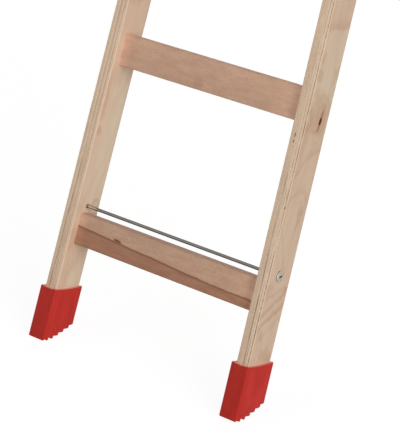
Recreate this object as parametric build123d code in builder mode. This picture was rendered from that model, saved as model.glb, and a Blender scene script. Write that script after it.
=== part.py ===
from build123d import *

import os
from math import atan2, cos, degrees, radians, sin, tan

# Wooden rung ladder: two laminated stiles, tenoned rungs, steel tie rods and moulded shoes.
# It stands at its working lean with both soles on the floor, z = 0. X runs across the ladder, the
# climber stands on the -Y side, and the stiles lean away from the climber, towards +Y, and in
# towards each other.

# Driving dimensions, in millimetres and degrees

# Whole ladder
LEAN = 68.0  # between the ladder and the floor
RUNG_COUNT = 7
RUNG_PITCH = 280.0  # up the ladder
FIRST_RUNG = 181.0  # floor to the middle of the first rung, up the front of the ladder
TOP_REACH = 145.0  # middle of the last rung to the top of the stiles
FIRST_RUNG_WIDTH = 347.0  # clear width between the stiles
LAST_RUNG_WIDTH = 292.0

# Stiles
STILE_THICKNESS = 21.0
STILE_DEPTH = 54.0
STILE_BEVEL = 1.2  # all edges but the lower end's
STILE_TOP_RADIUS = 16.0  # front and back corners of the top end

# Rungs, set halfway through the depth of the stiles
RUNG_HEIGHT = 49.0
RUNG_DEPTH = 23.0
RUNG_ARRIS = 2.5  # rounding of the long edges
TENON_HEIGHT = 37.0
TENON_THICKNESS = 12.0
TENON_LENGTH = 15.0
MORTISE_CLEARANCE = 0.15  # glue line on each side of a tenon
MORTISE_END_GAP = 1.0  # glue pocket beyond the end of a tenon

# Tie rods, one above the first rung and one below the last
ROD_DIAMETER = 5.0
ROD_DEPTH = 26.0  # behind the front edges of the stiles
ROD_STANDOFF = 11.0  # rung to the middle of the rod
ROD_HOLE_CLEARANCE = 0.3  # on each side of the rod, where it enters a stile
ROD_END_INSET = 5.0  # from the seats of the nuts
NUT_HEAD_DIAMETER = 17.0
NUT_HEAD_THICKNESS = 2.2
NUT_HEAD_CLEARANCE = 0.2  # around the head in its seat
NUT_BEDDING = 0.3  # least depth of the seat in the stile's outer face
NUT_BARREL_DIAMETER = 9.6
NUT_BARREL_LENGTH = 17.0
NUT_HOLE_CLEARANCE = 0.2  # on each side of the barrel and at its mouth
NUT_BORE_CLEARANCE = 0.05  # on each side of the rod
NUT_SLOT_LENGTH = 6.4
NUT_SLOT_WIDTH = 2.6
NUT_SLOT_DEPTH = 1.4
NUT_SLOT_ANGLES = {"lower_left": 70.0, "lower_right": 25.0, "upper_left": 10.0, "upper_right": 130.0}

# Shoes
FOOT_SIDE_WALL = 5.5
FOOT_FRONT_WALL = 6.0
FOOT_BACK_WALL = 3.0
FOOT_CORNER = 3.5  # rounding of the upright edges
FOOT_FIT = 0.1  # on each side of the stile
FOOT_RIM_FRONT = 82.6  # floor line to the rim, up the front of the ladder
FOOT_RIM_RISE = 8.5  # from the front of the rim to its back
FOOT_RIM_SAG = 1.2  # of the hollow rim, halfway back
FOOT_RIM_BEVEL = 1.2
SOLE_THICKNESS = 13.0  # floor to the end of the stile
SOLE_TEETH = 6
SOLE_TOE_TEETH = 2  # teeth in front of the one that the shoe stands on
SOLE_TOE_LIFT = 4.8  # of the front edge, up the ladder
SOLE_HEEL_LIFT = 5.5  # of the back edge, up the ladder
SOLE_ROCKER = 1.5  # power of the rise to the toe and the heel
SOLE_TOOTH_DEPTH = 4.0
SOLE_TIP_LAND = 2.0  # flat at the tip of each tooth

# Places worked out from the driving dimensions, in the ladder's own directions: across, up the
# ladder from the floor, and back from the front edges of the stiles

lean_cos = cos(radians(LEAN))
lean_sin = sin(radians(LEAN))
outward_of = {"left": -1, "right": 1}
mid_depth = STILE_DEPTH / 2
rung_levels = [FIRST_RUNG + number * RUNG_PITCH for number in range(RUNG_COUNT)]
stile_top = rung_levels[-1] + TOP_REACH
rod_offset = RUNG_HEIGHT / 2 + ROD_STANDOFF
rod_levels = {"lower": rung_levels[0] + rod_offset, "upper": rung_levels[-1] - rod_offset}
taper = degrees(atan2((FIRST_RUNG_WIDTH - LAST_RUNG_WIDTH) / 2, rung_levels[-1] - rung_levels[0]))
foot_front = -FOOT_FRONT_WALL
foot_back = STILE_DEPTH + FOOT_BACK_WALL


def half_width_at(level):
    """Half of the clear width between the stiles."""
    return FIRST_RUNG_WIDTH / 2 - (level - FIRST_RUNG) * tan(radians(taper))


def seat_at(level):
    """Distance from the middle of the ladder to the seats of the tie nuts at a level."""
    seat_radius = NUT_HEAD_DIAMETER / 2 + NUT_HEAD_CLEARANCE
    outer_half_width = half_width_at(level + seat_radius) + STILE_THICKNESS / cos(radians(taper))
    return outer_half_width - NUT_BEDDING


def level_at(height, depth):
    """Distance up the ladder of a point at a height over the floor and a depth from the front."""
    return (height + depth * lean_cos) / lean_sin


def world_y(level, depth):
    """Place along Y of a point of the ladder, before the ladder is centred over the origin."""
    return level * lean_cos + depth * lean_sin


# The whole box, from the toes to the rounded backs of the top ends, is centred over the origin
toe_y = world_y(level_at(0, foot_front) + SOLE_TOE_LIFT, foot_front)
top_y = world_y(stile_top - STILE_TOP_RADIUS, STILE_DEPTH - STILE_TOP_RADIUS) + STILE_TOP_RADIUS
front = Plane(
    origin=(0, -(toe_y + top_y) / 2, 0),
    x_dir=(1, 0, 0),
    z_dir=(0, -lean_sin, lean_cos),
)


def side_plane(across):
    """Plane square to X, with its x back from the front edges and its y up the ladder."""
    return Plane(
        origin=front.from_local_coords((across, 0, 0)),
        x_dir=-front.z_dir,
        z_dir=front.x_dir,
    )


def stile_plane(outward):
    """Plane of a stile's inner face, with its x back from the front edge and its y up the stile."""
    return Plane(
        origin=front.from_local_coords((outward * half_width_at(0), 0, 0)),
        x_dir=-front.z_dir,
        z_dir=front.x_dir * cos(radians(taper)) + front.y_dir * outward * sin(radians(taper)),
    )


def stile_section_plane(outward):
    """Plane square to a stile at the floor line, with its origin in the middle of the stile."""
    inner_face = stile_plane(outward)
    return Plane(
        origin=inner_face.from_local_coords((mid_depth, 0, outward * STILE_THICKNESS / 2)),
        x_dir=inner_face.z_dir,
        z_dir=inner_face.y_dir,
    )


os.makedirs("parts", exist_ok=True)

# Stiles: laminated boards with a blind mortise for each rung, a stepped hole and a seat for each tie
# rod and its nut, rounded top ends and a lower end cut at the slope of the floor

for side, outward in outward_of.items():
    inner_face = stile_plane(outward)
    with BuildPart() as stile:
        with BuildSketch(inner_face):
            with BuildLine():
                Polyline(
                    (0, level_at(SOLE_THICKNESS, 0)),
                    (STILE_DEPTH, level_at(SOLE_THICKNESS, STILE_DEPTH)),
                    (STILE_DEPTH, stile_top),
                    (0, stile_top),
                    close=True,
                )
            make_face()
            fillet(vertices().group_by(Axis.Y)[-1], STILE_TOP_RADIUS)
        extrude(amount=outward * STILE_THICKNESS)
        lower_end = faces().sort_by(Axis.Z)[0]
        broad_faces = faces().filter_by(Axis(inner_face.origin, inner_face.z_dir))
        chamfer(broad_faces.edges() - lower_end.edges(), STILE_BEVEL)
        for level in rung_levels:
            with BuildSketch(side_plane(0)):
                with Locations((mid_depth, level)):
                    SlotOverall(
                        TENON_HEIGHT + 2 * MORTISE_CLEARANCE,
                        TENON_THICKNESS + 2 * MORTISE_CLEARANCE,
                        rotation=90,
                    )
            mortise_end = half_width_at(level) + TENON_LENGTH + MORTISE_END_GAP
            extrude(amount=outward * mortise_end, mode=Mode.SUBTRACT)
        for level in rod_levels.values():
            seat = side_plane(outward * seat_at(level))
            barrel_room = NUT_BARREL_LENGTH + NUT_HOLE_CLEARANCE
            with BuildSketch(side_plane(0)):
                with Locations((ROD_DEPTH, level)):
                    Circle(ROD_DIAMETER / 2 + ROD_HOLE_CLEARANCE)
            extrude(amount=outward * seat_at(level), mode=Mode.SUBTRACT)
            with BuildSketch(seat):
                with Locations((ROD_DEPTH, level)):
                    Circle(NUT_BARREL_DIAMETER / 2 + NUT_HOLE_CLEARANCE)
            extrude(amount=-outward * barrel_room, mode=Mode.SUBTRACT)
            with BuildSketch(seat):
                with Locations((ROD_DEPTH, level)):
                    Circle(NUT_HEAD_DIAMETER / 2 + NUT_HEAD_CLEARANCE)
            extrude(amount=outward * NUT_HEAD_THICKNESS, mode=Mode.SUBTRACT)
    stile.part.label = f"{side}_stile"
    export_step(stile.part, f"parts/{side}_stile.step")

# Rungs: bars with rounded edges whose shoulders meet the stiles, and a round-edged tenon at each end

for number, level in enumerate(rung_levels, start=1):
    with BuildPart() as rung:
        with BuildSketch(front.offset(-mid_depth)):
            with Locations((0, level)):
                Trapezoid(2 * half_width_at(level - RUNG_HEIGHT / 2), RUNG_HEIGHT, 90 - taper)
        extrude(amount=RUNG_DEPTH / 2, both=True)
        fillet(edges().filter_by(Axis.X), RUNG_ARRIS)
        with BuildSketch(side_plane(0)):
            with Locations((mid_depth, level)):
                SlotOverall(TENON_HEIGHT, TENON_THICKNESS, rotation=90)
        extrude(amount=half_width_at(level) + TENON_LENGTH, both=True)
    rung.part.label = f"rung_{number}"
    export_step(rung.part, f"parts/rung_{number}.step")

# Tie rods: steel rods from one stile to the other, with both ends inside the nuts

for end, level in rod_levels.items():
    with BuildPart() as rod:
        with BuildSketch(side_plane(0)):
            with Locations((ROD_DEPTH, level)):
                Circle(ROD_DIAMETER / 2)
        extrude(amount=seat_at(level) - ROD_END_INSET, both=True)
    rod.part.label = f"{end}_tie_rod"
    export_step(rod.part, f"parts/{end}_tie_rod.step")

# Tie nuts: flat round heads bedded in the outer faces of the stiles, each with a short driver slot
# and a barrel that takes the end of the rod

for end, level in rod_levels.items():
    for side, outward in outward_of.items():
        seat = side_plane(outward * seat_at(level))
        barrel_mouth = side_plane(outward * (seat_at(level) - NUT_BARREL_LENGTH))
        head_top = side_plane(outward * (seat_at(level) + NUT_HEAD_THICKNESS))
        slot_angle = NUT_SLOT_ANGLES[f"{end}_{side}"]
        with BuildPart() as nut:
            with BuildSketch(seat):
                with Locations((ROD_DEPTH, level)):
                    Circle(NUT_HEAD_DIAMETER / 2)
            extrude(amount=outward * NUT_HEAD_THICKNESS)
            with BuildSketch(barrel_mouth):
                with Locations((ROD_DEPTH, level)):
                    Circle(NUT_BARREL_DIAMETER / 2)
            extrude(amount=outward * NUT_BARREL_LENGTH)
            with BuildSketch(barrel_mouth):
                with Locations((ROD_DEPTH, level)):
                    Circle(ROD_DIAMETER / 2 + NUT_BORE_CLEARANCE)
            extrude(amount=outward * (NUT_BARREL_LENGTH - ROD_END_INSET), mode=Mode.SUBTRACT)
            with BuildSketch(head_top):
                with Locations((ROD_DEPTH, level)):
                    Rectangle(NUT_SLOT_LENGTH, NUT_SLOT_WIDTH, rotation=slot_angle)
            extrude(amount=-outward * NUT_SLOT_DEPTH, mode=Mode.SUBTRACT)
        nut.part.label = f"{end}_{side}_tie_nut"
        export_step(nut.part, f"parts/{end}_{side}_tie_nut.step")

# Shoes: moulded sockets with rounded upright edges, a hollow rim that rises to the back, and a
# stepped sole that stands on one tooth and rises from it to the toe and the heel

foot_width = STILE_THICKNESS + 2 * FOOT_SIDE_WALL
foot_depth = foot_back - foot_front
foot_middle = (foot_front + foot_back) / 2
socket_front = -FOOT_FIT
socket_back = STILE_DEPTH + FOOT_FIT
rim_back = FOOT_RIM_FRONT + FOOT_RIM_RISE
rim_middle = FOOT_RIM_FRONT + FOOT_RIM_RISE / 2 - FOOT_RIM_SAG

land_depth = SOLE_TIP_LAND * lean_sin
sole_outline = []
for tooth in range(SOLE_TEETH + 1):
    if tooth < SOLE_TOE_TEETH:
        lift = SOLE_TOE_LIFT * (1 - tooth / SOLE_TOE_TEETH) ** SOLE_ROCKER
    else:
        heel_share = (tooth - SOLE_TOE_TEETH) / (SOLE_TEETH - SOLE_TOE_TEETH)
        lift = SOLE_HEEL_LIFT * heel_share ** SOLE_ROCKER
    land_front = max(foot_front, foot_front + foot_depth * tooth / SOLE_TEETH - land_depth)
    land_back = land_front + land_depth
    sole_outline.append((land_front, level_at(0, land_front) + lift))
    sole_outline.append((land_back, level_at(0, land_back) + lift))
    if tooth < SOLE_TEETH:
        sole_outline.append((land_back, level_at(0, land_back) + lift + SOLE_TOOTH_DEPTH))

for side, outward in outward_of.items():
    section = stile_section_plane(outward)
    with BuildPart() as foot:
        with BuildSketch(section):
            with Locations((0, foot_middle - mid_depth)):
                RectangleRounded(foot_width, foot_depth, FOOT_CORNER)
        extrude(amount=2 * rim_back, both=True)
        with BuildSketch(side_plane(0)):
            with BuildLine():
                Polyline((foot_front, FOOT_RIM_FRONT), *sole_outline, (foot_back, rim_back))
                ThreePointArc(
                    (foot_back, rim_back),
                    (foot_middle, rim_middle),
                    (foot_front, FOOT_RIM_FRONT),
                )
            make_face()
        extrude(amount=outward * 2 * half_width_at(0), mode=Mode.INTERSECT)
        rim = faces().sort_by(Axis(section.origin, section.z_dir))[-1]
        chamfer(rim.edges(), FOOT_RIM_BEVEL)
        with BuildSketch(stile_plane(outward).offset(-outward * FOOT_FIT)):
            with BuildLine():
                Polyline(
                    (socket_front, level_at(SOLE_THICKNESS, socket_front)),
                    (socket_back, level_at(SOLE_THICKNESS, socket_back)),
                    (socket_back, 2 * rim_back),
                    (socket_front, 2 * rim_back),
                    close=True,
                )
            make_face()
        extrude(amount=outward * (STILE_THICKNESS + 2 * FOOT_FIT), mode=Mode.SUBTRACT)
    foot.part.label = f"{side}_foot"
    export_step(foot.part, f"parts/{side}_foot.step")
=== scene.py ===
from math import atan2, cos, pi, radians, sin, sqrt, tan

import bmesh
import bpy
from mathutils import Matrix, Vector


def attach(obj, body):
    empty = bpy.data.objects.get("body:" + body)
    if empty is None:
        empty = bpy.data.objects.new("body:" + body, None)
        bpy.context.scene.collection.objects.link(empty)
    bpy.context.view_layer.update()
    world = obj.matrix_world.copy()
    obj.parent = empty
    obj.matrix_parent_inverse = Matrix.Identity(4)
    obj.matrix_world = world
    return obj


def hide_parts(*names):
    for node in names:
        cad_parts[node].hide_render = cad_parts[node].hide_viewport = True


# Looks of the wooden rung ladder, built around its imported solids. Lengths are in metres.
# Each piece keeps the place and the sizes of the solid that it stands for, apart from fine forms: the
# rims of the shoes, for one, differ from the solids' by a millimetre or two.

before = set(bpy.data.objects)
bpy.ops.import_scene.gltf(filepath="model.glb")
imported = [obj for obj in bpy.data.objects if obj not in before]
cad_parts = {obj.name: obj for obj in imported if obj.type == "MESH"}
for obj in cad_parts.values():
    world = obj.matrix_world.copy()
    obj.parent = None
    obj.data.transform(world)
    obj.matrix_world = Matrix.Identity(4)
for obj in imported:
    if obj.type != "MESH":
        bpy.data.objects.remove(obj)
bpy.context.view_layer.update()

# Sizes that the solids have

LEAN = radians(68)
RUNG_COUNT = 7
RUNG_PITCH = 0.280
FIRST_RUNG = 0.181
TOP_REACH = 0.145
FIRST_RUNG_WIDTH = 0.347
LAST_RUNG_WIDTH = 0.292
STILE_THICKNESS = 0.021
STILE_DEPTH = 0.054
STILE_TOP_RADIUS = 0.016
RUNG_HEIGHT = 0.049
RUNG_DEPTH = 0.023
RUNG_ARRIS = 0.0025
TENON_HEIGHT = 0.037
TENON_THICKNESS = 0.012
TENON_LENGTH = 0.015
MORTISE_CLEARANCE = 0.00015
MORTISE_END_GAP = 0.001
ROD_RADIUS = 0.0025
ROD_DEPTH = 0.026
ROD_STANDOFF = 0.011
ROD_HOLE_CLEARANCE = 0.0003
ROD_END_INSET = 0.005
NUT_HEAD_RADIUS = 0.0085
NUT_HEAD_THICKNESS = 0.0022
NUT_HEAD_CLEARANCE = 0.0002
NUT_BEDDING = 0.0003
NUT_BARREL_RADIUS = 0.0048
NUT_BARREL_LENGTH = 0.017
NUT_HOLE_CLEARANCE = 0.0002
NUT_BORE_RADIUS = 0.00255
NUT_SLOT_LENGTH = 0.0064
NUT_SLOT_WIDTH = 0.0026
NUT_SLOT_DEPTH = 0.0014
NUT_SLOT_ANGLES = {"lower_left": 70, "lower_right": 25, "upper_left": 10, "upper_right": 130}
FOOT_SIDE_WALL = 0.0055
FOOT_FRONT_WALL = 0.006
FOOT_BACK_WALL = 0.003
FOOT_CORNER = 0.0035
FOOT_FIT = 0.0001
FOOT_RIM_FRONT = 0.0826
FOOT_RIM_RISE = 0.0085
SOLE_THICKNESS = 0.013
SOLE_TEETH = 6
SOLE_TOE_TEETH = 2
SOLE_TOE_LIFT = 0.0048
SOLE_HEEL_LIFT = 0.0055
SOLE_ROCKER = 1.5
SOLE_TOOTH_DEPTH = 0.004
SOLE_TIP_LAND = 0.002

# Finer forms of the looks

PLY_COUNT = 10
PLY = 0.002325
STILE_ROUNDING = 0.0012
GLUE_GROOVE_WIDTH = 0.0005
GLUE_GROOVE_DEPTH = 0.0001
FOOT_SOLE_ROUNDING = 0.0008
FOOT_RIM_ROUNDING = 0.0015
FOOT_LIP_ROUNDING = 0.0006
FOOT_WALL_SAG = 0.0018
FOOT_SIDE_SAG = 0.0017
FOOT_FRONT_LIFT = 0.0012
FOOT_BACK_DROP = 0.0008
TOOTH_ROUNDING = 0.0004
RISER_DRAFT = 0.0003
THREAD_LENGTH = 0.014
THREAD_PITCH = 0.0008
THREAD_DEPTH = 0.0003
SLOT_CORNER = 0.0002
NUT_SOFTENING = 0.0009
NUT_MOUTH_CHAMFER = 0.0005

# Steps of the meshes, the radius that closes a turned end, how far cutters stand out of what they cut,
# how near points are merged, and the angles over which edges are shown sharp

ROUND_STEPS = 4
TOP_STEPS = 10
WALL_STEPS = 8
CORNER_STEPS = 7
ARRIS_STEPS = 6
RUNG_STATIONS = 12
HOLE_STEPS = 40
ROD_STEPS = 32
NUT_STEPS = 56
NUT_EDGE_STEPS = 5
SLOT_STEPS = 2
POLE = 0.0004
CUTTER_REACH = 0.004
MERGE_DISTANCE = 1e-6
SHARP_ANGLE = radians(32)
SHOE_SHARP_ANGLE = radians(38)

# Places worked out from the sizes

lean_cos = cos(LEAN)
lean_sin = sin(LEAN)
outward_of = {"left": -1, "right": 1}
mid_depth = STILE_DEPTH / 2
rung_levels = [FIRST_RUNG + number * RUNG_PITCH for number in range(RUNG_COUNT)]
stile_top = rung_levels[-1] + TOP_REACH
rod_offset = RUNG_HEIGHT / 2 + ROD_STANDOFF
rod_levels = {"lower": rung_levels[0] + rod_offset, "upper": rung_levels[-1] - rod_offset}
taper = atan2((FIRST_RUNG_WIDTH - LAST_RUNG_WIDTH) / 2, rung_levels[-1] - rung_levels[0])
foot_front = -FOOT_FRONT_WALL
foot_back = STILE_DEPTH + FOOT_BACK_WALL
foot_depth = foot_back - foot_front
foot_half_width = STILE_THICKNESS / 2 + FOOT_SIDE_WALL


def half_width_at(level):
    """Half of the clear width between the stiles."""
    return FIRST_RUNG_WIDTH / 2 - (level - FIRST_RUNG) * tan(taper)


def seat_at(level):
    """Distance from the middle of the ladder to the seats of the tie nuts at a level."""
    seat_radius = NUT_HEAD_RADIUS + NUT_HEAD_CLEARANCE
    return half_width_at(level + seat_radius) + STILE_THICKNESS / cos(taper) - NUT_BEDDING


def level_at(height, depth):
    """Distance up the ladder of a point at a height over the floor and a depth from the front."""
    return (height + depth * lean_cos) / lean_sin


def world_y(level, depth):
    """Place along Y of a point of the ladder, before the ladder is centred over the origin."""
    return level * lean_cos + depth * lean_sin


toe_y = world_y(level_at(0, foot_front) + SOLE_TOE_LIFT, foot_front)
top_y = world_y(stile_top - STILE_TOP_RADIUS, STILE_DEPTH - STILE_TOP_RADIUS) + STILE_TOP_RADIUS


def frame_of(x_axis, y_axis, z_axis, origin):
    """Matrix of a frame with these axes."""
    matrix = Matrix((x_axis, y_axis, z_axis)).transposed().to_4x4()
    matrix.translation = origin
    return matrix


# The ladder's frame runs across, back from the front edges of the stiles, and up the ladder. A
# stile's frame starts at its inner face and leans in with it.
ladder_frame = frame_of(
    Vector((1, 0, 0)),
    Vector((0, lean_sin, -lean_cos)),
    Vector((0, lean_cos, lean_sin)),
    Vector((0, -(toe_y + top_y) / 2, 0)),
)


def stile_frame(outward):
    """Frame of a stile within the ladder's frame."""
    return frame_of(
        Vector((cos(taper), 0, outward * sin(taper))),
        Vector((0, 1, 0)),
        Vector((-outward * sin(taper), 0, cos(taper))),
        Vector((outward * half_width_at(0), 0, 0)),
    )


# Meshes


def finished(builder):
    """Mesh of a bmesh, with doubles merged and faces turned outward."""
    bmesh.ops.remove_doubles(builder, verts=builder.verts, dist=MERGE_DISTANCE)
    bmesh.ops.recalc_face_normals(builder, faces=builder.faces)
    mesh = bpy.data.meshes.new("mesh")
    builder.to_mesh(mesh)
    builder.free()
    return mesh


def skin_rings(builder, rings):
    """Adds the rings' points and the faces between them, and returns the points by ring."""
    rows = [[builder.verts.new(point) for point in ring] for ring in rings]
    for lower, upper in zip(rows, rows[1:]):
        for here in range(len(lower)):
            there = (here + 1) % len(lower)
            builder.faces.new((lower[here], lower[there], upper[there], upper[here]))
    return rows


def solid_of(rings):
    """Closed mesh over rings that have the same number of points."""
    builder = bmesh.new()
    rows = skin_rings(builder, rings)
    builder.faces.new(rows[0])
    builder.faces.new(rows[-1])
    return finished(builder)


def joined(meshes):
    """One mesh of several that don't touch."""
    builder = bmesh.new()
    for mesh in meshes:
        builder.from_mesh(mesh)
        bpy.data.meshes.remove(mesh)
    return finished(builder)


def placed(name, data):
    """New object in the scene."""
    thing = bpy.data.objects.new(name, data)
    bpy.context.scene.collection.objects.link(thing)
    return thing


def combined(mesh, tool, operation):
    """Mesh that is left when a tool is taken from a mesh or added to it."""
    parts = [placed("part", data) for data in (mesh, tool)]
    step = parts[0].modifiers.new("step", "BOOLEAN")
    step.operation = operation
    step.solver = "EXACT"
    step.object = parts[1]
    graph = bpy.context.evaluated_depsgraph_get()
    result = bpy.data.meshes.new_from_object(parts[0].evaluated_get(graph))
    for data in (mesh, tool):
        bpy.data.meshes.remove(data)
    return result


def add_piece(name, mesh, matrix, look, node, sharp=SHARP_ANGLE):
    """Shows a mesh in place of a solid."""
    mesh.name = name
    mesh.materials.clear()
    mesh.materials.append(look.material)
    mesh.shade_smooth()
    mesh.set_sharp_from_angle(angle=sharp)
    mesh.transform(matrix)
    piece = placed(name, mesh)
    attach(piece, "root")
    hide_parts(node)


def rounded_box_outline(half_a, half_b, radius, steps):
    """Outline of a rectangle with round corners, as pairs."""
    outline = []
    for corner, (sign_a, sign_b) in enumerate(((1, 1), (-1, 1), (-1, -1), (1, -1))):
        for step in range(steps + 1):
            angle = (corner + step / steps) * pi / 2
            outline.append((
                sign_a * (half_a - radius) + radius * cos(angle),
                sign_b * (half_b - radius) + radius * sin(angle),
            ))
    return outline


def slot_outline(length, width, steps=8):
    """Outline of a slot along the second of each pair, with ends just short of half circles."""
    nearly_all = 0.9999
    return rounded_box_outline(width / 2, length / 2, width / 2 * nearly_all, steps)


def quarter_turn(radius, steps):
    """Pairs along a quarter circle: the first runs from 0 to the radius, the second back to 0."""
    angles = [pi / 2 * step / steps for step in range(steps + 1)]
    return [(radius * (1 - cos(angle)), radius * (1 - sin(angle))) for angle in angles]


def turned_rings(profile, steps):
    """Rings about the first axis, for a profile of place and radius pairs."""
    angles = [2 * pi * step / steps for step in range(steps)]
    return [[(place, radius * cos(a), radius * sin(a)) for a in angles] for place, radius in profile]


# Materials


def shade(red, green, blue):
    """Colour of an sRGB triple from 0 to 255."""
    linear = []
    for level in (red / 255, green / 255, blue / 255):
        linear.append(level / 12.92 if level <= 0.04045 else ((level + 0.055) / 1.055) ** 2.4)
    return (*linear, 1.0)


def add_node(tree, kind, inputs, out=0, **settings):
    """Adds a shader node with its settings, values and links, and returns one of its outputs."""
    made = tree.nodes.new("ShaderNode" + kind)
    for key, value in settings.items():
        setattr(made, key, value)
    for key, value in inputs.items():
        if isinstance(value, Wire):
            tree.links.new(value.socket, made.inputs[key])
        else:
            made.inputs[key].default_value = value
    return Wire(tree, made.outputs[out]) if len(made.outputs) else None


class Wire:
    """Output of a node. Sums with it add nodes to its tree."""

    def __init__(self, tree, socket):
        self.tree = tree
        self.socket = socket

    def math(self, operation, *others):
        inputs = dict(enumerate((self, *others)))
        return add_node(self.tree, "Math", inputs, operation=operation)

    def __add__(self, other):
        return self.math("ADD", other)

    def __sub__(self, other):
        return self.math("SUBTRACT", other)

    def __rsub__(self, other):
        return add_node(self.tree, "Math", {0: other, 1: self}, operation="SUBTRACT")

    def __mul__(self, other):
        return self.math("MULTIPLY", other)

    def __truediv__(self, other):
        return self.math("DIVIDE", other)

    def __pow__(self, power):
        return self.math("POWER", power)

    def __abs__(self):
        return self.math("ABSOLUTE")

    def step(self, low, high):
        """Rises smoothly from 0 at low to 1 at high, or falls where low is the greater."""
        inputs = {"Value": self, "From Min": low, "From Max": high}
        return add_node(self.tree, "MapRange", inputs, interpolation_type="SMOOTHSTEP")

    def span(self, low, high):
        """Runs from low to high as the value goes from 0 to 1."""
        return add_node(self.tree, "MapRange", {"Value": self, "To Min": low, "To Max": high})

    def swing(self, reach):
        """Runs over a reach that has 0 in its middle as the value goes from 0 to 1."""
        return (self - 0.5) * reach


def square_from(a, b, place_a, place_b, reach_a, reach_b):
    """Square of the distance from a place, where 1 is at the edge of an ellipse."""
    return ((a - place_a) / reach_a) ** 2.0 + ((b - place_b) / reach_b) ** 2.0


def spot(*ellipse):
    """1 in the middle of an ellipse, falling to 0 at its edge."""
    return square_from(*ellipse).step(1.0, 0.0)


class Look:
    """One procedural material, built node by node. Its x, y and z are those of the piece's frame."""

    def __init__(self, name, piece_frame, fixed):
        self.material = bpy.data.materials.new(name)
        self.material.use_nodes = True
        self.tree = self.material.node_tree
        self.surface = self.tree.nodes["Principled BSDF"]
        for socket, value in fixed.items():
            self.surface.inputs[socket].default_value = value
        self.turn = piece_frame.to_3x3()
        inputs = {
            "Vector": self.node("TexCoord", {}, out="Object"),
            "Location": piece_frame.translation,
            "Rotation": piece_frame.to_euler(),
        }
        place = self.node("Mapping", inputs, vector_type="TEXTURE")
        self.place = [self.node("SeparateXYZ", {0: place}, out=axis) for axis in range(3)]
        self.x, self.y, self.z = self.place

    def node(self, kind, inputs, out=0, **settings):
        return add_node(self.tree, kind, inputs, out, **settings)

    def noise(self, place, scales, detail=2.0, roughness=0.5, distortion=0.0, seed=0.0):
        """Noise at a place whose parts are scaled, moved by a seed along the first of them."""
        x, y, z = (part * scale for part, scale in zip(place, scales))
        inputs = {
            "Vector": self.node("CombineXYZ", {0: x + seed, 1: y, 2: z}),
            "Scale": 1.0,
            "Detail": detail,
            "Roughness": roughness,
            "Distortion": distortion,
        }
        return self.node("TexNoise", inputs)

    def mix(self, share, a, b):
        return self.node("Mix", {0: share, 6: a, 7: b}, out=2, data_type="RGBA")

    def tint(self, colour, factor):
        """Colour made lighter or darker by a factor around 1."""
        return self.node("VectorMath", {0: colour, 1: factor}, operation="MULTIPLY")

    def steps(self, value, levels, offset):
        """Level of the step that the value is on, where 1 is the number of plies."""
        made = self.tree.nodes.new("ShaderNodeValToRGB")
        made.color_ramp.interpolation = "CONSTANT"
        stops = made.color_ramp.elements
        while len(stops) < len(levels):
            stops.new(1.0)
        for number, level in enumerate(levels):
            stops[number].position = max(0.0, (number - offset) / PLY_COUNT)
            stops[number].color = (level, level, level, 1)
        self.tree.links.new(value.socket, made.inputs[0])
        return Wire(self.tree, made.outputs[0])

    def facing(self, axis):
        """How far the surface faces along an axis of the piece's frame."""
        inputs = {0: self.node("NewGeometry", {}, out="Normal"), 1: self.turn @ Vector(axis)}
        return self.node("VectorMath", inputs, out="Value", operation="DOT_PRODUCT")

    def drive(self, socket, value):
        self.tree.links.new(value.socket, self.surface.inputs[socket])

    def bump(self, height, distance, strength):
        inputs = {"Height": height, "Distance": distance, "Strength": strength}
        self.drive("Normal", self.node("Bump", inputs))


RINGS_IN_FIELD = 9.0


def late_wood(field, start):
    """Growth rings on the contours of a field. Each darkens slowly from its start and ends sharply."""
    ring = (field * RINGS_IN_FIELD).math("FRACT")
    return ring.step(start, 0.92) * ring.step(1.0, 0.94)


VENEER_PALE = shade(201, 182, 158)
VENEER_PINK = shade(196, 166, 143)
VENEER_BROWN = shade(166, 129, 97)
PLY_CREAM = shade(246, 221, 192)
PLY_TAN = shade(205, 174, 146)
GLUE_LINE = shade(140, 100, 78)
KNOT_DARK = shade(70, 22, 4)
# Brown of knots, also used for the painted shade round the rod holes
KNOT_AND_SHADE_BROWN = shade(128, 76, 48)
KNOT_RED = shade(190, 138, 110)
# Pale colour of the painted light on the wood over the shoes' rims
WOOD_PAINTED_LIGHT = shade(255, 198, 174)

# Tones of the plies at the edges of each stile, from its inner face outward, from cream to tan, how
# dark the glue line after each ply is, and how light the edge is at its foot and higher up
PLY_TONES = {
    "left": (0.85, 0.4, 0.8, 0.4, 0.6, 0.75, 0.4, 0.6, 0.7, 0.7),
    "right": (0.75, 0.65, 0.6, 0.5, 0.5, 0.5, 0.25, 0.3, 0.2, 0.85),
}
LINE_TONES = {
    "left": (0.35, 0.6, 0.4, 0.35, 0.6, 0.4, 0.3, 0.45, 0.4),
    "right": (0.3, 0.35, 0.25, 0.35, 0.4, 0.2, 0.9, 0.15, 0.9),
}
EDGE_TONES = {"left": (0.97, 1.05), "right": (0.95, 1.03)}

# Dark veins that wander across the plies of an edge: distance from the inner face at the veins' level,
# drift outward for each metre down, and strength
VEIN_LEVEL = 0.3
VEIN_REACH = 0.0016
VEINS = {
    "left": ((0.0119, 0.0103, 0.7), (0.0063, 0.0067, 0.3)),
    "right": ((0.0096, 0.0125, 0.7),),
}

# Specks and streaks of a second knot that the front edge of the right stile cuts: distance from the
# inner face, distance up, length and strength. A broken crack runs by the outer face.
SPECK_REACH = 0.0016
EDGE_SPECKS = (
    (0.0078, 0.4190, 0.0046, 0.95),
    (0.0077, 0.4098, 0.0028, 0.85),
    (0.0080, 0.4030, 0.0016, 0.45),
    (0.0106, 0.3500, 0.0220, 0.38),
    (0.0190, 0.3320, 0.0150, 0.28),
    (0.0196, 0.3160, 0.0030, 0.75),
    (0.0199, 0.3850, 0.0350, 0.26),
    (0.0203, 0.4290, 0.0140, 0.42),
    (0.0199, 0.4800, 0.0400, 0.26),
)
CRACK_PLACE = 0.0197
CRACK_REACH = 0.0010

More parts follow.
